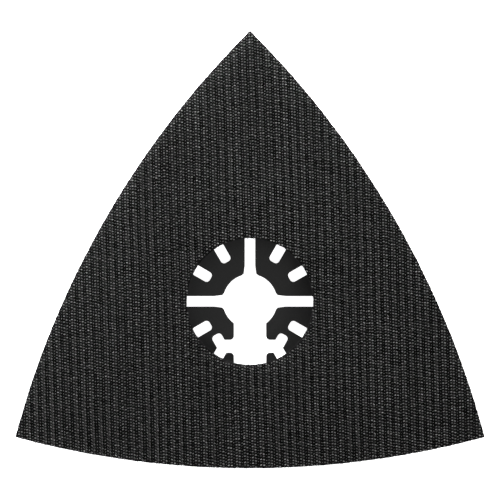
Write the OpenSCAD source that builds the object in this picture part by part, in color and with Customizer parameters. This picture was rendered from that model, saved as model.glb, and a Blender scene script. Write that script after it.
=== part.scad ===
// Triangular hook-faced sanding pad for an oscillating tool.
// The pad lies on its tool side. The origin is the centre of the arbor hole on the
// face that the tool's flange meets, +Z points out of the hook face and +Y to the apex.

/* [Outline] */
// Distance between two corners of the pad
pad_side = 90; // [86:1:96]
// How far each edge bows out from the straight line between its corners
edge_bulge = 6; // [4:0.5:7]
// Diameter of the round opening through the foam and the fabric
well_d = 24.3; // [23.4:0.1:25]
// How far the foam's edge stands in from the fabric's edge
foam_inset = 0.25; // [0.1:0.05:0.5]
// How far the carrier's edge stands in from the fabric's edge
carrier_inset = 0.9; // [0.5:0.1:1.5]
// Radius at which the carrier's three tips are rounded off
carrier_tip_r = 49.6; // [47:0.1:50]

/* [Layers] */
// Thickness of the steel arbor disc
disc_t = 1.5; // [1.2:0.1:1.8]
// How far the disc stands proud of the carrier's boss
disc_proud = 0.5; // [0.3:0.1:0.7]
// Height of the carrier's foam side above the tool face
carrier_top = 4.2; // [4:0.1:4.6]
// Thickness of the carrier's web between its ribs
web_t = 2.2; // [1.8:0.1:2.4]
// Thickness of each layer of glue
glue_t = 0.15; // [0.1:0.05:0.25]
// Thickness of the foam
foam_t = 5.5; // [4:0.5:8]
// Thickness of the fabric that the hooks are knitted into
fabric_t = 0.55; // [0.4:0.05:0.8]
// Height of the hooks above the fabric
hook_h = 1.35; // [1:0.05:1.8]

/* [Arbor] */
// Diameter of the arbor disc
disc_d = 42; // [41:0.5:44]
// Diameter of the hole that centres the pad on the tool
hole_d = 10.6; // [10.2:0.1:10.8]
// Width of the slot that takes the tool's clamp bolt
bolt_slot_w = 6.35; // [6.2:0.05:6.5]
// Width of the driving slots
slot_w = 2.15; // [2:0.05:2.3]
// Radius at which the driving slots begin
slot_inner_r = 8.7; // [8.5:0.1:9]
// Radius at which the driving slots end
slot_outer_r = 15; // [14:0.1:15.2]
// Corner radius of the driving slots
slot_corner_r = 0.75; // [0.4:0.05:0.9]
// Distance of the cross slot's middle from the centre
cross_y = 8.63; // [8.5:0.01:8.8]
// Width of the cross slot
cross_w = 2.6; // [2.4:0.1:2.8]
// Radius of the corners between the cross slot and the bolt slot
cross_corner_r = 0.7; // [0.4:0.1:0.9]
// Distance of the two ear slots' centrelines from the centre
ear_offset = 8.95; // [8.8:0.05:9.1]
// Distance of an ear slot's closed end from the foot of that centreline
ear_start = 2.2; // [2:0.1:2.4]

/* [Carrier] */
// Width of the carrier's boss round the disc
boss_wall = 3; // [2.5:0.1:3.5]
// Width of the carrier's edge rim
rim_w = 1.8; // [1.4:0.1:2.4]
// Thickness of the carrier's ribs
rib_w = 1.6; // [1.2:0.1:2.2]
// Height of the rim and the ribs above the tool face
rib_z = 1; // [0.8:0.1:1.2]
// Angle between a corner rib and the ribs beside it
rib_spread = 17; // [15:1:19]

/* [Rivets] */
// Number of rivets
rivet_count = 4; // [4:4:4]
// Diameter of the circle that the rivets lie on
rivet_circle_d = 35.4; // [35:0.1:35.6]
// Diameter of a rivet's shank
rivet_d = 3.2; // [3:0.1:3.4]
// Diameter of the countersunk head
rivet_head_d = 5.6; // [5.2:0.1:5.8]
// Depth of the countersunk head
rivet_head_h = 0.9; // [0.7:0.1:1]
// Diameter of the head that is pressed over on the foam side
rivet_tail_d = 5.4; // [5:0.1:5.6]
// Thickness of that head
rivet_tail_h = 0.8; // [0.6:0.1:0.9]

/* [Hidden] */
$fn = 128;
outline_fn = 256;
cut = 1; // how far a cutting solid runs past a face
play = 0.03; // gap between pieces that are slid together

inner_r = pad_side / (2 * sqrt(3));
edge_r = pad_side * pad_side / (8 * edge_bulge) + edge_bulge / 2;
edge_centre = edge_r - inner_r - edge_bulge;
boss_r = disc_d / 2 + boss_wall;
web_z = carrier_top - web_t;
carrier_hole_r = well_d / 2 + 0.35;
foam_z = carrier_top + glue_t;
fabric_z = foam_z + foam_t + glue_t;
pile_z = fabric_z + fabric_t;
flare_start = [hole_d / 2 - 0.35, 1.75];
flare_mouth = [hole_d / 2 + 0.05, 1.27];
flare_end = [6.9, slot_w / 2];
cross_half = 5.5;
ear_end = 5;
tail_pocket_h = rivet_tail_h + 0.3;
tail_pocket_d = rivet_tail_d + 0.8;

// The pad's outline, a triangle with bowed edges, drawn in by the inset.
module outline(inset) {
    intersection_for (a = [90, 210, 330])
        rotate(a) translate([edge_centre, 0]) circle(r = edge_r - inset, $fn = outline_fn);
}

// One layer of the pad: the outline, pierced by a round hole.
module layer(inset, hole_r, z, t) {
    translate([0, 0, z]) linear_extrude(t) difference() {
        outline(inset);
        circle(r = hole_r);
    }
}

// A slot along X from x0 to x1, with rounded corners.
module slot(x0, x1, w, r) {
    translate([x0 + r, -w / 2]) square([x1 - x0 - 2 * r, w]);
    translate([x0, r - w / 2]) square([x1 - x0, w - 2 * r]);
    for (x = [x0 + r, x1 - r], y = [r - w / 2, w / 2 - r])
        translate([x, y]) circle(r = r, $fn = 32);
}

// A slot along X out of the hole, wider at its mouth.
module open_slot() {
    slot(0, slot_outer_r, slot_w, slot_corner_r);
    polygon([flare_start, flare_mouth, flare_end, [flare_end.x, -flare_end.y],
             [flare_mouth.x, -flare_mouth.y], [flare_start.x, -flare_start.y]]);
}

// The spandrel that rounds a corner at the origin, with metal on the +X, +Y side.
module corner_cut(r) {
    difference() {
        translate([-r, -r]) square(2 * r);
        translate([r, r]) circle(r = r, $fn = 32);
        translate([r, -2 * r]) square(4 * r);
        translate([-2 * r, r]) square(4 * r);
    }
}

// The cross slot below the centre, its rounded corners and its two slanted ears.
module cross_slot() {
    translate([-cross_half, -cross_y - cross_w / 2]) square([2 * cross_half, cross_w]);
    for (m = [0, 1]) mirror([m, 0]) {
        translate([bolt_slot_w / 2, -cross_y + cross_w / 2]) corner_cut(cross_corner_r);
        translate([bolt_slot_w / 2, -cross_y - cross_w / 2]) mirror([0, 1])
            corner_cut(cross_corner_r);
        rotate(-30) translate([ear_offset, 0]) rotate(-90)
            slot(ear_start, ear_end, slot_w, slot_corner_r);
    }
}

// Everything that is pressed out of the disc.
module arbor_slots() {
    circle(r = hole_d / 2);
    for (a = [0, 90, 180]) rotate(a) open_slot();
    for (a = [30, 60, 120, 150, 210, 240, 300, 330])
        rotate(a) slot(slot_inner_r, slot_outer_r, slot_w, slot_corner_r);
    translate([-bolt_slot_w / 2, -disc_d / 2 - cut]) square([bolt_slot_w, disc_d / 2 + cut]);
    cross_slot();
}

// Repeats its children at each rivet.
module at_rivets() {
    for (i = [0:rivet_count - 1])
        rotate(45 + i * 360 / rivet_count) translate([rivet_circle_d / 2, 0]) children();
}

module arbor_disc() {
    color([0.13, 0.13, 0.14]) difference() {
        linear_extrude(disc_t) difference() {
            circle(r = disc_d / 2);
            arbor_slots();
        }
        at_rivets() {
            translate([0, 0, -cut]) cylinder(d = rivet_d + 2 * play, h = disc_t + 2 * cut);
            cylinder(d1 = rivet_head_d + 2 * play, d2 = rivet_d + 2 * play, h = rivet_head_h);
        }
    }
}

module arbor_rivets() {
    color([0.32, 0.32, 0.34]) at_rivets() {
        cylinder(d1 = rivet_head_d, d2 = rivet_d, h = rivet_head_h);
        cylinder(d = rivet_d, h = carrier_top - tail_pocket_h);
        translate([0, 0, carrier_top - tail_pocket_h])
            cylinder(d = rivet_tail_d, h = rivet_tail_h);
    }
}

// The ribs that run from the boss to the carrier's edge.
module ribs() {
    for (corner = [90, 210, 330], a = [-rib_spread, 0, rib_spread])
        rotate(corner + a) translate([0, -rib_w / 2]) square([carrier_tip_r, rib_w]);
    for (side = [30, 150, 270])
        rotate(side) translate([0, -rib_w / 2]) square([inner_r + edge_bulge, rib_w]);
}

module carrier_shape(inset) {
    intersection() {
        outline(inset);
        circle(r = carrier_tip_r + carrier_inset - inset);
    }
}

// The moulded plate between the steel and the foam: a web with a rim, ribs and a boss.
module carrier() {
    color([0.11, 0.11, 0.11]) difference() {
        union() {
            translate([0, 0, web_z]) linear_extrude(web_t) carrier_shape(carrier_inset);
            translate([0, 0, rib_z]) linear_extrude(web_z - rib_z) difference() {
                carrier_shape(carrier_inset);
                carrier_shape(carrier_inset + rim_w);
            }
            translate([0, 0, rib_z]) linear_extrude(web_z - rib_z) intersection() {
                carrier_shape(carrier_inset + rim_w / 2);
                ribs();
            }
            translate([0, 0, disc_proud]) cylinder(r = boss_r, h = web_z - disc_proud);
        }
        translate([0, 0, -cut]) cylinder(r = disc_d / 2 + play, h = disc_t + cut);
        translate([0, 0, -cut]) cylinder(r = carrier_hole_r, h = carrier_top + 2 * cut);
        at_rivets() {
            translate([0, 0, -cut]) cylinder(d = rivet_d + 2 * play, h = carrier_top + 2 * cut);
            translate([0, 0, carrier_top - tail_pocket_h])
                cylinder(d = tail_pocket_d, h = tail_pocket_h + cut);
        }
    }
}

module carrier_glue() {
    color([0.16, 0.15, 0.12])
        layer(carrier_inset + 0.4, carrier_hole_r + 0.4, carrier_top, glue_t);
}

module foam_pad() {
    color([0.1, 0.1, 0.1]) layer(foam_inset, well_d / 2 + 0.15, foam_z, foam_t);
}

module fabric_glue() {
    color([0.16, 0.15, 0.12])
        layer(foam_inset + 0.2, well_d / 2 + 0.35, foam_z + foam_t, glue_t);
}

module hook_fabric() {
    color([0.08, 0.08, 0.08]) layer(0, well_d / 2, fabric_z, fabric_t);
}

module hook_pile() {
    color([0.15, 0.15, 0.15]) layer(0.1, well_d / 2 + 0.1, pile_z, hook_h);
}

arbor_disc();
arbor_rivets();
carrier();
carrier_glue();
foam_pad();
fabric_glue();
hook_fabric();
hook_pile();
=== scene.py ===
import math

import bpy
import numpy as np
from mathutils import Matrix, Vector
from mathutils.geometry import tessellate_polygon


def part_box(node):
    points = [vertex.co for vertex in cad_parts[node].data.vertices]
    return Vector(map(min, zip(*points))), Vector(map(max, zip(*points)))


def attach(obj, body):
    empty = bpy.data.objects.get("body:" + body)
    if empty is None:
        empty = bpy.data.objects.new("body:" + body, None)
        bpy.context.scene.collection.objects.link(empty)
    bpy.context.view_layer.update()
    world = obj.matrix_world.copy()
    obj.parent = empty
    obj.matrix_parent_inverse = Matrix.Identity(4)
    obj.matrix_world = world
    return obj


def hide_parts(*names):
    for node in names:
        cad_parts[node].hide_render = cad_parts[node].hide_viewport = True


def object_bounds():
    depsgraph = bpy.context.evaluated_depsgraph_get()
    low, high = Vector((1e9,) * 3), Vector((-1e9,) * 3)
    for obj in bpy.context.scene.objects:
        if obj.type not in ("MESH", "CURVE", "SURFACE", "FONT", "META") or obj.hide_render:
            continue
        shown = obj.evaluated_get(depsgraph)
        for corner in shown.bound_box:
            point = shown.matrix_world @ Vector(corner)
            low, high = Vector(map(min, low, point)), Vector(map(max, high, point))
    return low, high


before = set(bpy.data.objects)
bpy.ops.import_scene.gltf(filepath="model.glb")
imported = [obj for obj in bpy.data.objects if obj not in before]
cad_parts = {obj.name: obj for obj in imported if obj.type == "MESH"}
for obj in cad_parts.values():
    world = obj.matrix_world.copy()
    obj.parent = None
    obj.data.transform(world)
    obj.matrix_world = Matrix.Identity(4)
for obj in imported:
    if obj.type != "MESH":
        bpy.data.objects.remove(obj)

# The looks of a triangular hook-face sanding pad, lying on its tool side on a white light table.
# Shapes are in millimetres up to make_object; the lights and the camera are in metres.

MM = 0.001
BODY = "root"
CAD_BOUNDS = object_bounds()


# ---------------- sizes, from the frame

def levels(node):
    """The lowest and highest height of a CAD node, in mm."""
    low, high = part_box(node)
    return low.z / MM, high.z / MM


def hole_radius(node):
    """The radius of the round opening in a layer, in mm."""
    points = np.array([v.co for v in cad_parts[node].data.vertices])
    return float(np.hypot(points[:, 0], points[:, 1]).min()) / MM


def drawn_in(node):
    """How far a layer's outline lies inside the fabric's, in mm."""
    return fabric_high.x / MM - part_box(node)[1].x / MM


fabric_low, fabric_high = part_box("hook_fabric")
FABRIC_TOP = fabric_high.z / MM
PAD_SIDE = (fabric_high.x - fabric_low.x) / MM       # from tip to tip
INNER_R = PAD_SIDE / (2 * math.sqrt(3))              # from the middle to a straight side
EDGE_BULGE = -fabric_low.y / MM - INNER_R            # how far an edge bows out of that side
EDGE_R = PAD_SIDE ** 2 / (8 * EDGE_BULGE) + EDGE_BULGE / 2
EDGE_CENTRE = EDGE_R - INNER_R - EDGE_BULGE          # from the middle to an edge's own centre
CENTRE_ANGLES = (90, 210, 330)                       # where the three edges' centres lie
EDGE_ANGLES = (270, 30, 150)                         # where the edges themselves lie
SPAN_X, SPAN_Y = PAD_SIDE / 2 + 1, PAD_SIDE * 0.62   # more than the pad reaches on each side
WELL_R = hole_radius("hook_fabric")

# Knitting of the hook fabric
WALE = 1.54           # distance between two wales, the columns of stitches
WALE_TILT = 0.026     # sideways run of a wale for each millimetre along it
ROW = 0.555           # distance between two hooks along a wale
WIRE = 0.165          # thickness of a hook's nylon filament
HOOK_BEND = 0.087     # radius of a hook's bend
STEM_OFFSET = 0.185   # distance of a hook's stem from its wale's middle
SIDE_LAG = 0.2        # how far a wale's right column lags behind its left one, in rows
WALE_TABLE = 400      # length of the tables of random values for each wale
WALE_ZERO = 200       # where the middle wale lies in them


# ---------------- noise and outline

NOISE_SIZE = 256      # cells along each side of the noise, before it repeats


def lattice_noise(x, y, cell, seed):
    """Smooth noise from -1 to 1, one random value for each corner of cells of one size in mm."""
    table = np.random.default_rng(seed).uniform(-1, 1, (NOISE_SIZE, NOISE_SIZE))
    u, v = np.asarray(x) / cell, np.asarray(y) / cell
    i, j = np.floor(u).astype(int), np.floor(v).astype(int)
    fu, fv = u - i, v - j
    fu, fv = fu * fu * (3 - 2 * fu), fv * fv * (3 - 2 * fv)
    i, j, i_after, j_after = [k % NOISE_SIZE for k in (i, j, i + 1, j + 1)]
    low = table[i, j] * (1 - fu) + table[i_after, j] * fu
    high = table[i, j_after] * (1 - fu) + table[i_after, j_after] * fu
    return low * (1 - fv) + high * fv


def edge_distance(x, y, well_r=WELL_R):
    """How far a point lies inside the pad's outline and outside its opening, in mm."""
    inside = np.hypot(x, y) - well_r
    for degrees in CENTRE_ANGLES:
        a = math.radians(degrees)
        away = np.hypot(x - EDGE_CENTRE * math.cos(a), y - EDGE_CENTRE * math.sin(a))
        inside = np.minimum(inside, EDGE_R - away)
    return inside


def outline_loop(inset, step):
    """Points round the pad's outline, counter-clockwise, drawn in by inset, and their normals."""
    r = EDGE_R - inset
    tip_r = (math.sqrt(4 * r * r - 3 * EDGE_CENTRE ** 2) - EDGE_CENTRE) / 2
    half = math.asin(tip_r * math.sqrt(3) / 2 / r)
    count = max(4, round(2 * half * r / step))
    points, normals = [], []
    for middle in EDGE_ANGLES:
        back = math.radians(middle + 180)
        for i in range(count):
            a = math.radians(middle) + half * (2 * i / count - 1)
            normal = (math.cos(a), math.sin(a))
            points.append((EDGE_CENTRE * math.cos(back) + r * normal[0],
                           EDGE_CENTRE * math.sin(back) + r * normal[1]))
            normals.append(normal)
    return np.array(points), np.array(normals)


def circle_loop(radius, step):
    """Points round the well, clockwise, and the normals that point into it."""
    count = max(24, round(2 * math.pi * radius / step))
    a = -np.arange(count) * 2 * math.pi / count
    ring = np.stack([np.cos(a), np.sin(a)], axis=1)
    return ring * radius, -ring


# ---------------- meshes

def make_object(name, points, faces, material, smooth=True):
    """An object from points in mm and a list of face arrays, each with one corner count."""
    mesh = bpy.data.meshes.new(name)
    mesh.vertices.add(len(points))
    mesh.vertices.foreach_set("co", (np.asarray(points, float) * MM).ravel())
    faces = [np.asarray(f, int) for f in faces if len(f)]
    corners = np.concatenate([f.ravel() for f in faces])
    sizes = np.concatenate([np.full(len(f), f.shape[1]) for f in faces])
    mesh.loops.add(len(corners))
    mesh.loops.foreach_set("vertex_index", corners)
    mesh.polygons.add(len(sizes))
    mesh.polygons.foreach_set("loop_start", np.concatenate([[0], np.cumsum(sizes)[:-1]]))
    mesh.polygons.foreach_set("use_smooth", np.full(len(sizes), smooth))
    mesh.update(calc_edges=True)
    mesh.validate()
    mesh.materials.append(material)
    made = bpy.data.objects.new(name, mesh)
    bpy.context.scene.collection.objects.link(made)
    return made


def give_tone(made, tones, repeats):
    """Keep tones from 0 to 1 on a mesh's points, each on so many in turn, for its material."""
    layer = made.data.attributes.new("tone", "FLOAT", "POINT")
    layer.data.foreach_set("value", np.repeat(np.asarray(tones, float), repeats))


ODD_WAY = (0.31, 0.17, 0.93)     # a direction that no tube runs along


def tubes(paths, radii, sides):
    """Points and faces of closed round tubes along paths, an array of tubes by points by XYZ."""
    count, length, _ = paths.shape
    along = np.gradient(paths, axis=1)
    along /= np.linalg.norm(along, axis=2, keepdims=True)
    chord = paths[:, -1] - paths[:, 0]
    lean = np.cross(chord, paths[:, length // 2] - paths[:, 0])
    straight = np.linalg.norm(lean, axis=1, keepdims=True) < 1e-6
    lean = np.where(straight, np.cross(chord, ODD_WAY), lean)
    across = np.repeat(lean[:, None] / np.linalg.norm(lean, axis=1)[:, None, None], length, 1)
    across -= along * (across * along).sum(2, keepdims=True)
    across /= np.linalg.norm(across, axis=2, keepdims=True)
    up = np.cross(along, across)
    radii = np.broadcast_to(np.asarray(radii, float), (count, length))[:, :, None, None]
    a = np.arange(sides) * 2 * math.pi / sides
    ring = across[:, :, None] * np.cos(a)[:, None] + up[:, :, None] * np.sin(a)[:, None]
    points = (paths[:, :, None] + radii * ring).reshape(-1, 3)
    ids = np.arange(count * length * sides).reshape(count, length, sides)
    after = np.roll(ids, -1, axis=2)
    walls = np.stack([ids[:, :-1], after[:, :-1], after[:, 1:], ids[:, 1:]], -1).reshape(-1, 4)
    caps = np.concatenate([ids[:, 0, ::-1], ids[:, -1]])
    return points, [walls, caps]


def both_ways(span, step):
    """Whole numbers of steps that reach at least span on both sides of 0."""
    last = math.ceil(span / step)
    return np.arange(-last, last + 1)


def clipped_grid(distance, cell):
    """A grid over the pad, clipped to where distance is positive. Returns its XY points, its
    faces by corner count, and its border as pairs of points in the faces' direction."""
    xs, ys = both_ways(SPAN_X, cell[0]) * cell[0], both_ways(SPAN_Y, cell[1]) * cell[1]
    grid_x, grid_y = np.meshgrid(xs, ys, indexing="ij")
    inside = distance(grid_x, grid_y)
    index = np.full(grid_x.shape, -1)
    kept = inside > 0
    index[kept] = np.arange(kept.sum())
    points = [tuple(p) for p in np.stack([grid_x[kept], grid_y[kept]], 1)]
    corner = np.stack([index[:-1, :-1], index[1:, :-1], index[1:, 1:], index[:-1, 1:]], -1)
    whole = (corner >= 0).all(-1)
    mixed = (corner >= 0).any(-1) & ~whole
    faces = {4: [tuple(q) for q in corner[whole]]}
    border, crossing = [], {}

    def cross(a, b):
        key = (min(a, b), max(a, b))
        if key not in crossing:
            share = inside[a] / (inside[a] - inside[b])
            crossing[key] = len(points)
            points.append((grid_x[a] + share * (grid_x[b] - grid_x[a]),
                           grid_y[a] + share * (grid_y[b] - grid_y[a])))
        return crossing[key]

    for i, j in zip(*np.nonzero(mixed)):
        ring = [(i, j), (i + 1, j), (i + 1, j + 1), (i, j + 1)]
        face, cuts = [], []
        for a, b in zip(ring, ring[1:] + ring[:1]):
            if inside[a] > 0:
                face.append(int(index[a]))
            if (inside[a] > 0) != (inside[b] > 0):
                cuts.append((len(face), inside[a] > 0))
                face.append(cross(a, b))
        if len(cuts) == 2 and len(face) > 2:
            faces.setdefault(len(face), []).append(tuple(face))
            leave = next(at for at, leaving in cuts if leaving)
            border.append((face[leave], face[(leave + 1) % len(face)]))
    return np.array(points), [np.array(f) for f in faces.values()], np.array(border)


def fill_faces(loops, ids, up):
    """Triangles that fill the area between loops, facing up or down."""
    fill = np.array(tessellate_polygon([[Vector((*p, 0)) for p in loop] for loop in loops]))
    flat = np.concatenate(loops)[fill]
    one, two = flat[:, 1] - flat[:, 0], flat[:, 2] - flat[:, 0]
    area = (one[:, 0] * two[:, 1] - one[:, 1] * two[:, 0]).sum()
    return np.asarray(ids)[fill if (area > 0) == up else fill[:, ::-1]]


def slab(name, distance, cell, low, high, material):
    """A closed slab with a flat underside; its top's height is a number or a function of x, y."""
    flat, faces, border = clipped_grid(distance, cell)
    tops = high(flat[:, 0], flat[:, 1]) if callable(high) else np.full(len(flat), high)
    points, faces, start = [np.column_stack([flat, tops])], list(faces), len(flat)
    after, loops, rings = dict(border.tolist()), [], []
    while after:
        ring = [next(iter(after))]
        while ring[-1] in after:
            ring.append(after.pop(ring[-1]))
        upper = np.array(ring[:-1])
        lower = start + np.arange(len(upper))
        faces.append(np.stack([np.roll(upper, -1), upper, lower, np.roll(lower, -1)], axis=1))
        points.append(np.column_stack([flat[upper], np.full(len(upper), low)]))
        loops.append(flat[upper])
        rings.append(lower)
        start += len(upper)
    faces.append(fill_faces(loops, np.concatenate(rings), up=False))
    return make_object(name, np.concatenate(points), faces, material)


def along_loop(loop):
    """How far along a loop each of its points lies."""
    steps = np.linalg.norm(np.roll(loop, -1, axis=0) - loop, axis=1)
    return np.concatenate([[0], np.cumsum(steps)[:-1]])


def wall_faces(start, rings, around):
    """Faces of a wall through rings of points that are numbered in turn from start."""
    ids = start + np.arange(rings * around).reshape(rings, around)
    after = np.roll(ids, -1, axis=1)
    return np.stack([ids[:-1], after[:-1], after[1:], ids[1:]], -1).reshape(-1, 4)


# ---------------- materials

class Shader:
    """A Principled material built in a few calls."""

    def __init__(self, name):
        self.material = bpy.data.materials.new(name)
        self.material.use_nodes = True
        self.tree = self.material.node_tree
        self.bsdf = self.tree.nodes["Principled BSDF"]
        self.place = self.add("ShaderNodeTexCoord").outputs["Object"]

    def add(self, kind, **values):
        """A new node; each value goes to the input or else the setting of that name."""
        node = self.tree.nodes.new(kind)
        for key, value in values.items():
            if key in node.inputs:
                node.inputs[key].default_value = value
            else:
                setattr(node, key, value)
        return node

    def link(self, a, b):
        self.tree.links.new(a, b)

    def noise(self, scale, detail=2.0, stretch=None):
        """Noise on the object's own coordinates; scale is in features per metre."""
        place = self.place
        if stretch:
            mapping = self.add("ShaderNodeMapping")
            mapping.inputs["Scale"].default_value = stretch
            self.link(place, mapping.inputs["Vector"])
            place = mapping.outputs["Vector"]
        node = self.add("ShaderNodeTexNoise", Scale=scale, Detail=detail)
        self.link(place, node.inputs["Vector"])
        return node.outputs["Fac"]

    def cells(self, scale):
        """The distance from the middles of round cells, in cells."""
        node = self.add("ShaderNodeTexVoronoi", Scale=scale, Randomness=0.9)
        self.link(self.place, node.inputs["Vector"])
        return node.outputs["Distance"]

    def ramp(self, factor, low, high, start=0.3, end=0.7):
        """A colour between two, as factor goes from start to end."""
        node = self.add("ShaderNodeValToRGB")
        stops = node.color_ramp.elements
        stops[0].position, stops[1].position = start, end
        stops[0].color, stops[1].color = (*low, 1), (*high, 1)
        self.link(factor, node.inputs["Fac"])
        return node.outputs["Color"]

    def between(self, factor, low, high):
        """A number from low to high, as factor goes from 0 to 1."""
        node = self.add("ShaderNodeMapRange")
        node.inputs["To Min"].default_value = low
        node.inputs["To Max"].default_value = high
        self.link(factor, node.inputs["Value"])
        return node.outputs["Result"]

    def mix(self, factor, first, second):
        """From a colour socket to a plain colour, by a factor from 0 to 1."""
        node = self.add("ShaderNodeMix", data_type="RGBA")
        sockets = {s.identifier: s for s in (*node.inputs, *node.outputs)}
        sockets["B_Color"].default_value = (*second, 1)
        self.link(factor, sockets["Factor_Float"])
        self.link(first, sockets["A_Color"])
        return sockets["Result_Color"]

    def bump(self, height, depth, strength):
        """Bump of a real depth in mm, on top of any bump made before."""
        node = self.add("ShaderNodeBump", Strength=strength, Distance=depth * MM)
        self.link(height, node.inputs["Height"])
        before = self.bsdf.inputs["Normal"].links
        if before:
            self.link(before[0].from_socket, node.inputs["Normal"])
        self.link(node.outputs["Normal"], self.bsdf.inputs["Normal"])

    def set(self, **values):
        """Gives the Principled node's inputs numbers, colours or the outputs of other nodes."""
        for key, value in values.items():
            socket = self.bsdf.inputs[key.replace("_", " ")]
            if hasattr(value, "is_linked"):
                self.link(value, socket)
            else:
                socket.default_value = value


def grey(value):
    return (value, value, value)


def hook_nylon():
    """Black nylon filament, glossy. Its tone paints a highlight on each hook's bend and shade down
    its stem and on the lower hooks, varies at random from hook to hook, and also sets how strongly
    it reflects.
    """
    s = Shader("hook_nylon")
    tone = s.add("ShaderNodeAttribute", attribute_name="tone").outputs["Fac"]
    # the tone's lighter greys are painted highlight, its darkest greys painted shade
    s.set(Base_Color=s.ramp(tone, grey(0.006), grey(0.30), start=0.0, end=1.0),
          Roughness=s.between(s.noise(2600), 0.22, 0.38),
          Specular_IOR_Level=s.between(tone, 0.05, 1.5), IOR=1.53)
    return s.material


def yarn(name, low, high, shine):
    """Matt black filament yarn, with fine twist, between two tones; a tone makes it lighter."""
    s = Shader(name)
    tone = s.add("ShaderNodeAttribute", attribute_name="tone").outputs["Fac"]
    twist = s.ramp(s.noise(700, detail=3), grey(low), grey(high))
    s.set(Base_Color=s.mix(tone, twist, grey(0.05)),
          Roughness=s.between(s.noise(3000), 0.6, 0.8), Specular_IOR_Level=shine)
    s.bump(s.noise(7000, detail=3, stretch=(1, 0.35, 1)), depth=0.05, strength=0.8)
    return s.material


def foam_rubber():
    """Black closed-cell foam, cut with a die, with painted shade in its opened cells, which makes
    them darker than their walls.
    """
    s = Shader("foam_rubber")
    cells = s.cells(3300)
    # painted shade: the middles of the opened cells are darker, as hollows in shade would be
    s.set(Base_Color=s.ramp(cells, grey(0.002), grey(0.013), start=0.12, end=0.5),
          Roughness=s.between(s.noise(1500), 0.7, 0.9), Specular_IOR_Level=0.12)
    s.bump(cells, depth=0.12, strength=0.8)
    s.bump(s.noise(9000, detail=3), depth=0.02, strength=0.6)
    return s.material


def moulded_nylon():
    """Black glass-filled nylon with a fine spark-eroded texture."""
    s = Shader("moulded_nylon")
    s.set(Base_Color=s.ramp(s.noise(300, detail=4), grey(0.005), grey(0.010)),
          Roughness=s.between(s.noise(800, detail=3), 0.42, 0.6), Specular_IOR_Level=0.28)
    s.bump(s.noise(3200, detail=3), depth=0.05, strength=0.7)
    return s.material


def coated_steel():
    """Pressed steel with a smooth black coating."""
    s = Shader("coated_steel")
    s.set(Base_Color=s.ramp(s.noise(3200, detail=3), grey(0.001), grey(0.004)),
          Roughness=s.between(s.noise(500, detail=4), 0.36, 0.44), Specular_IOR_Level=0.34)
    s.bump(s.noise(3500, detail=3), depth=0.006, strength=0.35)
    return s.material


def rivet_steel():
    """Dark steel with marks of the tool that spread the tails."""
    s = Shader("rivet_steel")
    s.set(Base_Color=s.ramp(s.noise(800, detail=3), grey(0.14), grey(0.22)), Metallic=1.0,
          Roughness=s.between(s.noise(1200, detail=3), 0.3, 0.5))
    s.bump(s.noise(2500, detail=3, stretch=(1, 1, 0.2)), depth=0.01, strength=0.4)
    return s.material


def glue_film():
    """Dark amber glue, fairly glossy."""
    s = Shader("glue_film")
    dark, light = (0.05, 0.042, 0.028), (0.09, 0.075, 0.05)
    s.set(Base_Color=s.ramp(s.noise(600, detail=3), dark, light),
          Roughness=s.between(s.noise(900), 0.25, 0.5))
    s.bump(s.noise(1500, detail=3), depth=0.05, strength=0.6)
    return s.material


# ---------------- arbor disc and rivets

COATING = 0.07        # thickness of the black coating, which makes each opening tighter
DISC_R = -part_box("arbor_disc")[0].x / MM - COATING
# The sizes of the openings are those of the CAD disc.
HOLE_R = 5.3                           # of the arbor hole
SLOT_HALF, SLOT_CORNER = 1.075, 0.75   # half a driving slot's width, and its corners' radius
SLOT_INNER, SLOT_OUTER = 8.7, 15.0     # where a closed slot starts, and where all slots end
SLOT_ANGLES = (30, 60, 120, 150, 210, 330)       # of the closed driving slots
FLARE_START, FLARE_MOUTH, FLARE_END = (4.95, 1.75), (5.35, 1.27), (6.9, 1.075)  # open slots' sides
BOLT_HALF = 3.175                      # half the bolt slot's width
CROSS_TOP, CROSS_BOTTOM, CROSS_CORNER = -7.33, -9.93, 0.7      # of the cross slot
EAR_OFFSET, EAR_START = 8.95, 2.2      # an ear's line from the middle, and its end along that
RIVET_CIRCLE, RIVET_R, RIVET_HEAD_R, RIVET_HEAD_H = 17.7, 1.6, 2.8, 0.9
RIVET_TAIL_H = 0.8
RIVET_ANGLES = (45, 135, 225, 315)


def arc(centre, radius, start, end, step=9.0):
    """Points on an arc between two angles in degrees."""
    count = max(2, math.ceil(abs(end - start) / step)) + 1
    a = np.radians(np.linspace(start, end, count))
    return np.column_stack([centre[0] + radius * np.cos(a), centre[1] + radius * np.sin(a)])


def unit(degrees):
    """The direction at an angle, one long."""
    return np.array([math.cos(math.radians(degrees)), math.sin(math.radians(degrees))])


def turned(points, degrees):
    """XY points turned about the middle."""
    a = math.radians(degrees)
    points = np.asarray(points, float)
    return np.column_stack([points[:, 0] * math.cos(a) - points[:, 1] * math.sin(a),
                            points[:, 0] * math.sin(a) + points[:, 1] * math.cos(a)])


def mirrored(points, axis):
    """The points in the other order, on the other side of an axis."""
    points = np.array(points, float)[::-1]
    points[:, axis] *= -1
    return points


def on_circle(a, b, radius):
    """The point on the line from a to b that is radius from the centre, nearest to b."""
    a, b = np.array(a, float), np.array(b, float)
    step = b - a
    p, q = a @ step / (step @ step), (a @ a - radius ** 2) / (step @ step)
    return a + step * (-p + math.sqrt(p * p - q))


def slot_end(outer):
    """The closed end of a slot along X, from its +Y side to its -Y side."""
    near, side = outer - SLOT_CORNER, SLOT_HALF - SLOT_CORNER
    return np.concatenate([arc((near, side), SLOT_CORNER, 90, 0, step=15),
                           arc((near, -side), SLOT_CORNER, 0, -90, step=15)])


def driving_slot(degrees):
    """One closed driving slot, with rounded corners."""
    far = slot_end(SLOT_OUTER)
    near = mirrored(slot_end(-SLOT_INNER), 0)[::-1] * (1, -1)
    return turned(np.concatenate([far, near]), degrees)


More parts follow.
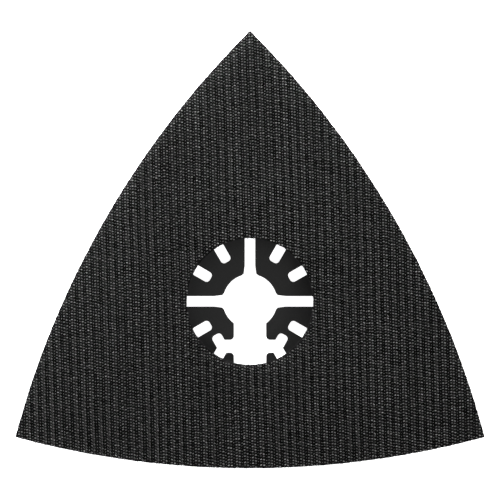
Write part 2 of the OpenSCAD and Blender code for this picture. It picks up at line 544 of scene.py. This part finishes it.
def pressed_outline():
    """The disc's edge as one closed line, in through the bolt slot and round the opening."""
    foot = on_circle(FLARE_START, FLARE_MOUTH, HOLE_R)
    foot_angle = math.degrees(math.atan2(foot[1], foot[0]))
    side = [foot, FLARE_MOUTH, FLARE_END]
    back = mirrored(side, 1)
    end = slot_end(SLOT_OUTER)
    half_end = end[len(end) // 2:]
    bolt_angle = math.degrees(math.acos(BOLT_HALF / HOLE_R))
    outward, down, axis = unit(-30), unit(-120), unit(-60)
    foot_of_ear = EAR_OFFSET * outward
    inner, outer = foot_of_ear - SLOT_HALF * outward, foot_of_ear + SLOT_HALF * outward
    enter = inner + down * (CROSS_TOP - inner[1]) / down[1]
    away = np.array([-axis[1], axis[0]])
    leave = outer + down * (SLOT_HALF - outer @ away) / (down @ away)
    lower = -SLOT_HALF * away
    meet = lower + axis * (CROSS_BOTTOM - lower[1]) / axis[1]
    ear = turned(-slot_end(-EAR_START), -120) + foot_of_ear
    right = [turned(np.concatenate([half_end, back]), 90),
             arc((0, 0), HOLE_R, 90 - foot_angle, foot_angle, step=4),
             side, end, back,
             arc((0, 0), HOLE_R, -foot_angle, -bolt_angle, step=4),
             arc((BOLT_HALF + CROSS_CORNER, CROSS_TOP + CROSS_CORNER), CROSS_CORNER, 180, 270),
             [enter], ear, [leave], turned(end, -60), [meet],
             arc((BOLT_HALF + CROSS_CORNER, CROSS_BOTTOM - CROSS_CORNER), CROSS_CORNER, 90, 180)]
    right = np.concatenate([np.asarray(part, float) for part in right])
    rim_angle = math.degrees(math.acos(BOLT_HALF / DISC_R))
    rim = arc((0, 0), DISC_R, -rim_angle, 180 + rim_angle, step=1.5)
    loop = np.concatenate([right, rim, mirrored(right, 0)])
    gaps = np.linalg.norm(loop - np.roll(loop, 1, axis=0), axis=1)
    return loop[gaps > 1e-4]


def loop_normals(loop):
    """For each point of a loop, the step that moves the line by 1 to its left."""
    ahead, behind = np.roll(loop, -1, 0) - loop, loop - np.roll(loop, 1, 0)
    ahead /= np.linalg.norm(ahead, axis=1)[:, None]
    behind /= np.linalg.norm(behind, axis=1)[:, None]
    left = np.column_stack([-(ahead + behind)[:, 1], (ahead + behind)[:, 0]])
    return left / np.maximum((1 + (ahead * behind).sum(1)), 0.5)[:, None]


def rounded(low, high, under, over):
    """A wall's profile from low to high, as (drawn in, z), whose lower and upper edges are
    rounded by the radii under and over; a negative radius makes a fillet."""
    a = np.linspace(0, math.pi / 2, 5)
    rows = [(under * (1 - math.sin(t)), low + under * (1 - math.cos(t))) for t in a]
    return rows + [(over * (1 - math.cos(t)), high - over * (1 - math.sin(t))) for t in a]


class Shell:
    """A closed solid made of upright walls and of flat caps that join them."""

    def __init__(self):
        self.points, self.walls, self.caps, self.count = [], [], [], 0

    def wall(self, loop, profile):
        """A wall round a loop that has solid on its left, with (drawn in, z) rows from the
        bottom to the top. Returns its bottom and top rings."""
        normals = loop_normals(loop)
        return self.rings([(loop + normals * inset, z) for inset, z in profile])

    def rings(self, rows):
        """A wall through rings of one length, given as (XY points, z)."""
        size = len(rows[0][0])
        self.walls.append(wall_faces(self.count, len(rows), size))
        ids = self.count + np.arange(len(rows) * size).reshape(len(rows), size)
        self.points += [np.column_stack([flat, np.full(size, z)]) for flat, z in rows]
        self.count += len(rows) * size
        return (rows[0][0], ids[0]), (rows[-1][0], ids[-1])

    def cap(self, rings, up):
        """A flat face between rings of one height."""
        self.caps.append(fill_faces([flat for flat, _ in rings],
                                    np.concatenate([ids for _, ids in rings]), up))

    def make(self, name, material):
        """The object, with smooth walls and flat caps."""
        made = make_object(name, np.concatenate(self.points), self.walls + self.caps, material)
        walls = sum(len(f) for f in self.walls)
        smooth = np.arange(len(made.data.polygons)) < walls
        made.data.polygons.foreach_set("use_smooth", smooth)
        return made


def hole(centre, radius, step=9.0):
    """A round hole's loop, clockwise."""
    return arc(centre, radius, 360, 0, step)[:-1]


def arbor_disc(material):
    """The pressed disc, with countersunk rivet holes on the tool side."""
    low, high = levels("arbor_disc")
    edge = [(inset - COATING, z) for inset, z in rounded(low, high, under=0.07, over=0.15)]
    seat = [(RIVET_HEAD_R - RIVET_R, low), (0, low + RIVET_HEAD_H), (0, high)]
    shell = Shell()
    rings = [shell.wall(pressed_outline(), edge)]
    rings += [shell.wall(driving_slot(degrees), edge) for degrees in SLOT_ANGLES]
    rings += [shell.wall(hole(place, RIVET_R), seat) for place in rivet_places()]
    shell.cap([bottom for bottom, _ in rings], up=False)
    shell.cap([top for _, top in rings], up=True)
    return shell.make("pressed_disc", material)


def rivet_places():
    """The rivets' axes, between the driving slots."""
    return [RIVET_CIRCLE * unit(degrees) for degrees in RIVET_ANGLES]


def lathe(name, profile, centres, sides, material):
    """Closed turned shapes, one at each centre, from (radius, z) rows between two points on
    the axis."""
    rows = np.array(profile, float)
    points, faces, start = [], [], 0
    a = np.arange(sides) * 2 * math.pi / sides
    inner = rows[1:-1]
    for x, y in centres:
        ring = np.stack([x + inner[:, :1] * np.cos(a), y + inner[:, :1] * np.sin(a),
                         np.repeat(inner[:, 1:], sides, axis=1)], axis=2)
        points.append(np.concatenate([ring.reshape(-1, 3), [(x, y, rows[0, 1])],
                                      [(x, y, rows[-1, 1])]]))
        faces.append(wall_faces(start, len(inner), sides))
        first, last = start + np.arange(sides), start + (len(inner) - 1) * sides + np.arange(sides)
        tips = start + len(inner) * sides
        faces.append(np.stack([np.roll(first, -1), first, np.full(sides, tips)], 1))
        faces.append(np.stack([last, np.roll(last, -1), np.full(sides, tips + 1)], 1))
        start = tips + 2
    return make_object(name, np.concatenate(points), faces, material)


def rivets(material):
    """Countersunk heads on the tool side, and tails spread over on the foam side."""
    low, high = levels("arbor_rivets")
    tail_low = high - RIVET_TAIL_H
    profile = [(0, low + 0.05), (1.0, low + 0.04), (1.35, low), (RIVET_HEAD_R - 0.08, low),
               (RIVET_HEAD_R, low + 0.06), (RIVET_R, low + RIVET_HEAD_H), (RIVET_R, tail_low),
               (2.3, tail_low), (2.62, tail_low + 0.12), (2.7, tail_low + 0.35),
               (2.58, tail_low + 0.58), (2.2, high - 0.07), (1.6, high), (1.25, high - 0.04),
               (0.9, high - 0.22), (0.4, high - 0.3), (0, high - 0.32)]
    return lathe("set_rivets", profile, rivet_places(), sides=48, material=material)


# ---------------- carrier

# The sizes are those of the CAD carrier.
CARRIER_INSET, CARRIER_TIP_R = 0.9, 49.6      # from the fabric's outline, and of the blunt tips
RIM_WIDTH, RIB_HALF = 1.8, 0.8                # RIB_HALF is half a rib's thickness
RIM_Z, WEB_Z = 1.0, 2.0                       # undersides of the rim and ribs, and of the web
BOSS_R, POCKET_R = 24.0, 24.5                 # of the boss, and of the pockets' inner ends
POCKET_CORNER = 1.4
SEAT_R, SEAT_Z = 21.03, 1.53                  # of the disc's seat
TAIL_POCKET_R, TAIL_POCKET_Z = 3.1, 3.1
RIB_ANGLES = (30, 73, 107, 150, 193, 227, 270, 313, 347)


def outline_radius(degrees, inset, tip_r):
    """How far the outline is from the centre at an angle, drawn in and cut off at its tips."""
    a = np.radians(degrees)
    reach = np.full(np.shape(a), float(tip_r))
    for centre in CENTRE_ANGLES:
        along = EDGE_CENTRE * np.cos(a - math.radians(centre))
        root = np.sqrt(along ** 2 - EDGE_CENTRE ** 2 + (EDGE_R - inset) ** 2)
        reach = np.minimum(reach, along + root)
    return reach


def polar_line(degrees, radii):
    """XY points from angles and radii."""
    a = np.radians(degrees)
    return np.column_stack([radii * np.cos(a), radii * np.sin(a)])


def softened(sides, radius):
    """A loop from the lines round it, with each corner between two of them rounded off."""
    trimmed = []
    for side in sides:
        s = np.concatenate([[0], np.cumsum(np.linalg.norm(np.diff(side, axis=0), axis=1))])
        at = np.linspace(radius, s[-1] - radius, max(2, round(s[-1] / 1.5)))
        trimmed.append(np.column_stack([np.interp(at, s, side[:, 0]),
                                        np.interp(at, s, side[:, 1])]))
    loop = []
    for k, side in enumerate(trimmed):
        after = trimmed[(k + 1) % len(sides)][0]
        t = np.linspace(0, 1, 8)[1:-1, None]
        bend = (1 - t) ** 2 * side[-1] + 2 * t * (1 - t) * sides[k][-1] + t ** 2 * after
        loop += [side, bend]
    return np.concatenate(loop)


def rib_side(degrees, sign, inset, tip_r):
    """A rib's side, from the boss to the rim."""
    far = outline_radius(degrees, inset, tip_r)
    for _ in range(6):       # each round brings far closer to where this side meets the rim
        meets = degrees + sign * math.degrees(math.asin(RIB_HALF / far))
        far = outline_radius(meets, inset, tip_r)
    ends = [math.sqrt(radius ** 2 - RIB_HALF ** 2) for radius in (POCKET_R, far)]
    s = np.linspace(*ends, 12)
    return turned(np.column_stack([s, np.full(len(s), sign * RIB_HALF)]), degrees)


def rib_pocket(start, end):
    """The pocket between two ribs, the boss and the rim, clockwise."""
    inset, tip_r = CARRIER_INSET + RIM_WIDTH, CARRIER_TIP_R - RIM_WIDTH
    near, far = rib_side(start, 1, inset, tip_r), rib_side(end, -1, inset, tip_r)
    a = [math.degrees(math.atan2(p[1], p[0])) % 360 for p in (near[0], near[-1], far[-1], far[0])]
    a = [x + 360 if x < start - 5 else x for x in a]      # the last pocket runs on past 360
    edge = np.linspace(a[1], a[2], 60)
    edge = polar_line(edge, outline_radius(edge, inset, tip_r))
    edge[0], edge[-1] = near[-1], far[-1]
    boss = polar_line(np.linspace(a[3], a[0], 16), np.full(16, POCKET_R))
    boss[0], boss[-1] = far[0], near[0]
    return softened([near, edge, far[::-1], boss], POCKET_CORNER)[::-1]


def carrier(material):
    """The moulded carrier: a web with a rim, ribs and a boss that holds the disc."""
    low, high = levels("carrier")
    well = hole_radius("carrier")
    shell = Shell()
    a = np.arange(0, 360, 0.75)
    outer = polar_line(a, outline_radius(a, CARRIER_INSET, CARRIER_TIP_R))
    circle = arc((0, 0), BOSS_R, 0, 360, step=3)[:-1]
    rim, top = shell.wall(outer, rounded(RIM_Z, high, under=0.35, over=0.12))
    boss_low, boss_root = shell.wall(circle, rounded(low, RIM_Z, under=0.2, over=-0.25))
    seat_low, seat_top = shell.wall(hole((0, 0), SEAT_R, step=3),
                                    rounded(low, SEAT_Z, under=0.15, over=0.0))
    well_low, well_top = shell.wall(hole((0, 0), well, step=4),
                                    rounded(SEAT_Z, high, under=0.0, over=0.2))
    fillet = rounded(RIM_Z, WEB_Z, under=0.15, over=-0.25)
    pockets = [shell.wall(rib_pocket(start, end + 360 * (end < start)), fillet)
               for start, end in zip(RIB_ANGLES, RIB_ANGLES[1:] + RIB_ANGLES[:1])]
    shanks = [shell.wall(hole(place, RIVET_R), [(0, SEAT_Z), (0, TAIL_POCKET_Z)])
              for place in rivet_places()]
    tail_wall = rounded(TAIL_POCKET_Z, high, under=0.0, over=0.1)
    tails = [shell.wall(hole(place, TAIL_POCKET_R), tail_wall) for place in rivet_places()]
    shell.cap([rim, boss_root] + [opening for opening, _ in pockets], up=False)
    for _, floor_ring in pockets:
        shell.cap([floor_ring], up=False)
    shell.cap([boss_low, seat_low], up=False)
    shell.cap([seat_top, well_low] + [bottom for bottom, _ in shanks], up=False)
    for (_, shank_top), (tail_floor, _) in zip(shanks, tails):
        shell.cap([tail_floor, shank_top], up=True)
    shell.cap([top, well_top] + [opening for _, opening in tails], up=True)
    return shell.make("moulded_carrier", material)


# ---------------- foam and glue

FOAM_STEP = 0.16                                        # size of the cut sides' faces
FOAM_HOLLOW, FOAM_DENT, FOAM_WAVE = 0.16, 0.07, 0.05    # depths
GLUE_STEP = 0.6                                         # size of a film's faces
GLUE_WANDER = 0.12                                      # how far a film's edge strays


def foam_push(s, z):
    """How far the cut side of the foam stands out: a hollow middle, dents and cutting waves."""
    low, high = levels("foam_pad")
    hollow = -FOAM_HOLLOW * np.sin(math.pi * (z - low) / (high - low))
    dents = FOAM_DENT * np.minimum(lattice_noise(s, z, cell=0.5, seed=11) + 0.1, 0)
    return hollow + dents + FOAM_WAVE * lattice_noise(s, z, cell=6.0, seed=13)


def foam_block(material):
    """The foam, between flat glued faces and uneven cut sides."""
    low, high = levels("foam_pad")
    rings = round((high - low) / FOAM_STEP) + 1
    heights = np.linspace(low, high, rings)
    shell = Shell()
    lower, upper = [], []
    for loop, outward in (outline_loop(drawn_in("foam_pad"), FOAM_STEP),
                          circle_loop(hole_radius("foam_pad"), FOAM_STEP)):
        s = along_loop(loop)
        rows = [(loop + outward * foam_push(s, np.full(len(s), z))[:, None], z) for z in heights]
        bottom, top = shell.rings(rows)
        lower.append(bottom)
        upper.append(top)
    shell.cap(lower, up=False)
    shell.cap(upper, up=True)
    return shell.make("foam_block", material)


def glue_layer(node, name, seed, material):
    """A film of glue whose edge wanders a little."""
    low, high = levels(node)
    inset = drawn_in(node)
    well = hole_radius(node)

    def distance(x, y):
        wander = GLUE_WANDER * lattice_noise(x, y, cell=1.7, seed=seed)
        inside = edge_distance(x, y, well_r=0) - inset
        return np.minimum(inside, np.hypot(x, y) - well) + wander

    return slab(name, distance, (GLUE_STEP, GLUE_STEP), low, high, material)


# ---------------- hook fabric

GROUND_CELL = (WALE / 6, ROW / 3)
GROUND_DROP = 0.14                        # of the ground's middle height below the CAD's top
RIB_RELIEF, STITCH_RELIEF = 0.07, 0.05
FRAYING = 0.07                            # how far the ground's cut edge strays
SLANT_X, SLANT_Y = 120, 130               # runs to the left and down that add 1 to the slant

HOOK_BANDS = 8        # hooks are made as this many pieces, side by side
HOOK_SIDES = 6        # flats round a hook's filament
HOOK_FOOT = 0.25      # depth of a hook's foot in the ground
HOOK_MARGIN = 0.12    # of a hook's stem from the fabric's edge
HEIGHT_SPREAD = 0.07
SECOND_DROP = 0.10    # how much lower every second hook is
WORN_DROP = 0.10      # how much lower worn hooks are
SECOND_WORN_DROP = 0.24                   # and how much more every second one of them
YAW_SPREAD, YAW_SIDE, YAW_WANDER = 0.13, 0.12, 0.15           # in radians
YAW_SLANTED, YAW_STEADY = 0.8, 0.6        # slanted hooks' turn, and the scatter that they lose
LEAN_X, LEAN_Y = 0.02, 0.05               # spread of how far a hook's bend stands off its foot
HOOK_PAINTED_LIGHT = (0.07, 0.15, 0.55, 1, 1, 0.5, 0.2)     # painted highlight on the bend and painted shade down the stem: tones of the points along a hook, from its foot
HOOK_TONE, TONE_SPREAD = 0.58, 0.25
SECOND_PAINTED_SHADE, WORN_DULL, SLANTED_DULL = 0.67, 0.3, 0.3         # shares of the tone that are lost; every second hook's loss is painted shade, as it stands lower among the others

STUMP_R = WIRE * 0.4
STRAND_R, STRAND_SIDES = 0.085, 4
STRAND_X, STRAND_Y = 0.30, 0.35           # half a strand's run along each axis
STRAND_TAPER = (0.6, 1, 1, 1, 0.6)
FIBRE_STEP, FIBRE_SHARE, FIBRE_SIDES = 0.16, 0.8, 5     # of its places, this share has a fibre


def wale_drift(x, y):
    """How far the wales stand aside from straight lines along Y."""
    wander = 0.10 * lattice_noise(x, y, cell=17, seed=21)
    wander += 0.03 * lattice_noise(x, y, cell=4, seed=22)
    return wander - WALE_TILT * y


def ground_height(x, y):
    """Relief of the knitted ground: a rib of chain stitches along each wale."""
    x = x - wale_drift(x, y)
    across = np.cos(2 * math.pi * x / WALE)
    stitch = np.cos(2 * math.pi * y / ROW + 1.1 * np.sign(np.sin(2 * math.pi * x / WALE)))
    ribs = FABRIC_TOP - GROUND_DROP + RIB_RELIEF * across
    return ribs + STITCH_RELIEF * stitch * (0.7 + 0.3 * across)


def fabric_ground(material):
    """The knitted ground, with a slightly frayed edge."""
    low = levels("hook_fabric")[0]

    def distance(x, y):
        return edge_distance(x, y) + FRAYING * lattice_noise(x, y, cell=0.45, seed=23)

    return slab("fabric_ground", distance, GROUND_CELL, low, ground_height, material)


def wale_phase(wale):
    """How far up the rows of a wale are moved, in rows; no two wales agree."""
    return np.random.default_rng(34).uniform(0, 2, WALE_TABLE)[np.asarray(wale) + WALE_ZERO]


def knit_places(margin, offset_x=0.0, offset_y=0.0):
    """A place on each wale and row that is at least margin inside the fabric: x, y, wale, row.
    offset_x is in mm and offset_y in rows."""
    last = math.ceil(PAD_SIDE / 2 / WALE) + 1
    wales = np.arange(-last, last + 1)
    wale, row = [a.ravel() for a in np.meshgrid(wales, both_ways(SPAN_Y, ROW), indexing="ij")]
    x, y = wale * WALE + offset_x, (row + wale_phase(wale) + offset_y) * ROW
    y = y + 0.12 * lattice_noise(wale * 5.1, y, cell=3, seed=24)
    x = x + wale_drift(x, y)
    kept = edge_distance(x, y) > margin
    return x[kept], y[kept], wale[kept], row[kept]


def slant(x, y, wale):
    """How much a wale's stitches lean over, from 0 to 1; most of all in the lower left."""
    wander = 0.9 * lattice_noise(wale * 7.3, y, cell=13, seed=37)
    return np.clip(wander - x / SLANT_X - y / SLANT_Y, 0, 1)


def wear(side, y, wale):
    """How worn the hooks of a column are, from 0 to 1, in stretches along it."""
    wander = 0.9 * lattice_noise(wale * 9.7 + side * 3.1, y, cell=14, seed=35)
    return np.clip(0.45 + wander, 0, 1)


def hooks(material):
    """J-shaped hooks in two columns on each wale, bent away from the wale's middle. In each
    column every second hook is lower, and darker with painted shade."""
    rng = np.random.default_rng(31)
    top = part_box("hook_pile")[1].z / MM - WIRE / 2
    flip = rng.integers(0, 2, WALE_TABLE)
    everything, tones = [], []
    for side in (-1, 1):
        x, y, wale, row = knit_places(HOOK_MARGIN, side * STEM_OFFSET, -SIDE_LAG * (side > 0))
        count = len(x)
        height = top - FABRIC_TOP - HOOK_BEND - np.abs(rng.normal(0, HEIGHT_SPREAD, count))
        worn = wear(side, y, wale)
        second = (row + (side > 0) * flip[wale + WALE_ZERO]) % 2
        height -= worn * (WORN_DROP + SECOND_WORN_DROP * second) + SECOND_DROP * second
        slanted = slant(x, y, wale)
        yaw = rng.normal(0, YAW_SPREAD, count) - YAW_SIDE * side
        yaw += YAW_WANDER * lattice_noise(x, y, cell=9, seed=32)
        yaw = yaw * (1 - YAW_STEADY * slanted) - YAW_SLANTED * slanted
        lean_x, lean_y = rng.normal(0, LEAN_X, count), rng.normal(0, LEAN_Y, count)
        bend = HOOK_BEND * rng.uniform(0.9, 1.1, count)
        tip = rng.uniform(0.12, 0.34, count)       # how far the tip hangs below the bend's middle
        out = np.stack([side * np.cos(yaw), side * np.sin(yaw)], axis=1)
        profile = [(np.zeros(count), np.full(count, -HOOK_FOOT))]
        for degrees in (180, 135, 90, 45, 0):
            a = math.radians(degrees)
            profile.append((bend * (1 + math.cos(a)), height + bend * math.sin(a)))
        profile.append((2 * bend, height - tip))
        path = np.zeros((count, len(profile), 3))
        for k, (reach, rise) in enumerate(profile):
            share = np.maximum(rise, 0) / height
            path[:, k, 0] = x + out[:, 0] * reach + lean_x * share
            path[:, k, 1] = y + out[:, 1] * reach + lean_y * share
            path[:, k, 2] = FABRIC_TOP + rise
        tone = HOOK_TONE * np.exp(rng.normal(0, TONE_SPREAD, count))
        tone *= 1 - SLANTED_DULL * slanted
        # every second hook gets painted shade, as it stands lower than its neighbours
        tone *= (1 - SECOND_PAINTED_SHADE * second) * (1 - WORN_DULL * worn)
        everything.append(path)
        tones.append(np.clip(tone, 0.03, 1))
    paths, tones = np.concatenate(everything), np.concatenate(tones)
    order = np.argsort(paths[:, 0, 0], kind="stable")
    made = []
    for band, chosen in enumerate(np.array_split(order, HOOK_BANDS)):
        points, faces = tubes(paths[chosen], WIRE / 2, HOOK_SIDES)
        made.append(make_object(f"hooks_{band + 1}", points, faces, material))
        # each hook's tone, times the painted highlight on its bend and the painted shade down its
        # stem
        give_tone(made[-1], np.outer(tones[chosen], HOOK_PAINTED_LIGHT).ravel(), HOOK_SIDES)
    return made


def stumps(material):
    """The cut-off legs of the loops, which stand in a line between two wales."""
    rng = np.random.default_rng(36)
    x, y, _, _ = knit_places(margin=0.15, offset_x=WALE / 2, offset_y=0.5)
    count = len(x)
    height = rng.uniform(0.25, 0.6, count)
    lean = rng.normal(0, 0.06, (count, 2))
    path = np.zeros((count, 3, 3))
    for k, share in enumerate((-0.3, 0.4, 1)):
        path[:, k, :2] = np.column_stack([x, y]) + lean * max(share, 0)
        path[:, k, 2] = FABRIC_TOP + height * share
    points, faces = tubes(path, STUMP_R, HOOK_SIDES)
    made = make_object("hook_stumps", points, faces, material)
    give_tone(made, rng.uniform(0.03, 0.42, count), path.shape[1] * HOOK_SIDES)
    return made


def strands(material):
    """The slanted strands that cross a wale under its hooks."""
    rng = np.random.default_rng(41)
    x, y, wale, _ = knit_places(margin=0.45, offset_y=-0.42)
    count = len(x)
    t = np.linspace(-1, 1, len(STRAND_TAPER))
    path = np.zeros((count, len(t), 3))
    slanted = slant(x, y, wale)
    rise = 0.25 + 0.25 * slanted + rng.normal(0, 0.05, count)
    path[:, :, 0] = x[:, None] + t * STRAND_X
    path[:, :, 1] = y[:, None] - t * STRAND_Y + rng.normal(0, 0.03, count)[:, None]
    path[:, :, 2] = FABRIC_TOP - 0.15 + rise[:, None] * (1 - t ** 4)
    points, faces = tubes(path, STRAND_R * np.array(STRAND_TAPER), STRAND_SIDES)
    made = make_object("fabric_strands", points, faces, material)
    give_tone(made, slanted, len(t) * STRAND_SIDES)
    return made


def cut_fibres(material):
    """Ends of filaments that stand out of the fabric's cut edges."""
    rng = np.random.default_rng(51)
    loops = (outline_loop(0.07, FIBRE_STEP), circle_loop(WELL_R + 0.03, FIBRE_STEP))
    start = np.concatenate([loop for loop, _ in loops])
    normal = np.concatenate([normals for _, normals in loops])
    keep = rng.uniform(0, 1, len(start)) < FIBRE_SHARE
    start, normal = start[keep], normal[keep]
    count = len(start)
    low, high = levels("hook_fabric")
    turn = rng.normal(0, 0.6, count)
    out = np.stack([normal[:, 0] * np.cos(turn) - normal[:, 1] * np.sin(turn),
                    normal[:, 0] * np.sin(turn) + normal[:, 1] * np.cos(turn)], axis=1)
    length = 0.05 + 0.1 * rng.random(count)
    length += 0.15 * rng.random(count) ** 8        # a few are much longer
    z = rng.uniform(low + 0.1, high - 0.05, count)
    rise = rng.normal(0.1, 0.35, count) * length
    path = np.zeros((count, 4, 3))
    for k, share in enumerate((-2.5, -0.5, 0.3, 1)):
        path[:, k, :2] = start + out * (share * length)[:, None]
        path[:, k, 2] = z + rise * share * abs(share)
    points, faces = tubes(path, rng.uniform(0.025, 0.055, count)[:, None], FIBRE_SIDES)
    return make_object("cut_fibres", points, faces, material)


# ---------------- put together

def add_piece(piece, node):
    """Hangs a piece on the pad's body, and hides the CAD node that it stands for."""
    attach(piece, BODY)
    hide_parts(node)
    return piece


steel = coated_steel()
nylon = hook_nylon()
ground_yarn = yarn("ground_yarn", 0.005, 0.013, 0.0)
strand_yarn = yarn("strand_yarn", 0.01, 0.03, 0.0)
glue = glue_film()
add_piece(arbor_disc(steel), "arbor_disc")
add_piece(rivets(rivet_steel()), "arbor_rivets")
add_piece(carrier(moulded_nylon()), "carrier")
add_piece(glue_layer("carrier_glue", "carrier_glue_film", 61, glue), "carrier_glue")
add_piece(glue_layer("fabric_glue", "fabric_glue_film", 62, glue), "fabric_glue")
foam = add_piece(foam_block(foam_rubber()), "foam_pad")
ground = add_piece(fabric_ground(ground_yarn), "hook_fabric")
on_fabric = [add_piece(strands(strand_yarn), "hook_fabric"),
             add_piece(stumps(nylon), "hook_pile"),
             add_piece(cut_fibres(ground_yarn), "hook_fabric")]
on_fabric += [add_piece(band, "hook_pile") for band in hooks(nylon)]


# ---------------- stage, light and camera

def floor():
    """A round light table, just under the pad."""
    material = bpy.data.materials.new("light_table")
    material.use_nodes = True
    bsdf = material.node_tree.nodes["Principled BSDF"]
    bsdf.inputs["Base Color"].default_value = (0.85, 0.85, 0.85, 1)
    bsdf.inputs["Roughness"].default_value = 0.6
    bsdf.inputs["Emission Color"].default_value = (1, 1, 1, 1)
    bsdf.inputs["Emission Strength"].default_value = 1.0
    radius, height, sides = 30000, -0.05, 96
    a = np.arange(sides) * 2 * math.pi / sides
    rim = np.column_stack([radius * np.cos(a), radius * np.sin(a), np.full(sides, height)])
    table = make_object("floor", rim, [np.arange(sides)[None, :]], material, smooth=False)


def area_light(name, place, aim, size, energy):
    """A soft round light, in metres and watts; the camera doesn't see it."""
    data = bpy.data.lights.new(name, "AREA")
    data.shape, data.size, data.energy = "DISK", size, energy
    made = bpy.data.objects.new(name, data)
    made.location = place
    made.visible_camera = False
    made.rotation_euler = (Vector(aim) - Vector(place)).to_track_quat("-Z", "Y").to_euler()
    bpy.context.scene.collection.objects.link(made)


def studio():
    """A white horizon, a dark band above it, a grey ceiling, and four soft lights."""
    world = bpy.data.worlds.new("studio")
    bpy.context.scene.world = world
    world.use_nodes = True
    tree = world.node_tree
    place = tree.nodes.new("ShaderNodeTexCoord")
    split = tree.nodes.new("ShaderNodeSeparateXYZ")
    ramp = tree.nodes.new("ShaderNodeValToRGB")
    tree.links.new(place.outputs["Generated"], split.inputs[0])
    tree.links.new(split.outputs["Z"], ramp.inputs["Fac"])
    stops = ramp.color_ramp.elements
    stops[0].position, stops[0].color = 0.02, (1, 1, 1, 1)
    stops[1].position, stops[1].color = 0.12, (0.02, 0.02, 0.02, 1)
    overhead = stops.new(0.5)
    overhead.color = (0.65, 0.65, 0.65, 1)
    tree.links.new(ramp.outputs["Color"], tree.nodes["Background"].inputs["Color"])
    tree.nodes["Background"].inputs["Strength"].default_value = 1.0
    upper, middle = (0, 0.03, 0), (0, 0, 0)       # what the lights are aimed at
    area_light("key", (-0.06, 0.175, 0.085), upper, size=0.1, energy=1.42)
    area_light("fill", (0.18, -0.20, 0.40), middle, size=0.16, energy=0.72)
    for side in (-1, 1):
        area_light(f"side_{side + 2}", (side * 0.23, 0.15, 0.13), upper, size=0.1, energy=0.35)


PAD_SHARE = 0.9392    # how much of the frame's width the pad takes
LENS = 900            # long, so that the view is nearly square on everywhere
SENSOR = 36           # width, in mm like the lens
PAD_RISE = 0.00011    # how far the pad stands above the middle of the frame, in metres


def camera():
    """Looks straight down, with the pad's box almost in the middle of the frame."""
    data = bpy.data.cameras.new("camera")
    data.lens = LENS
    data.sensor_width = SENSOR
    made = bpy.data.objects.new("camera", data)
    low, high = CAD_BOUNDS
    width = (high.x - low.x) / PAD_SHARE
    reach = width / 2 / (data.sensor_width / 2 / data.lens)
    made.location = ((low.x + high.x) / 2, (low.y + high.y) / 2 - PAD_RISE, high.z + reach)
    data.clip_end = 100
    bpy.context.scene.collection.objects.link(made)
    bpy.context.scene.camera = made


floor()
studio()
camera()
bpy.context.scene.view_settings.view_transform = "Standard"
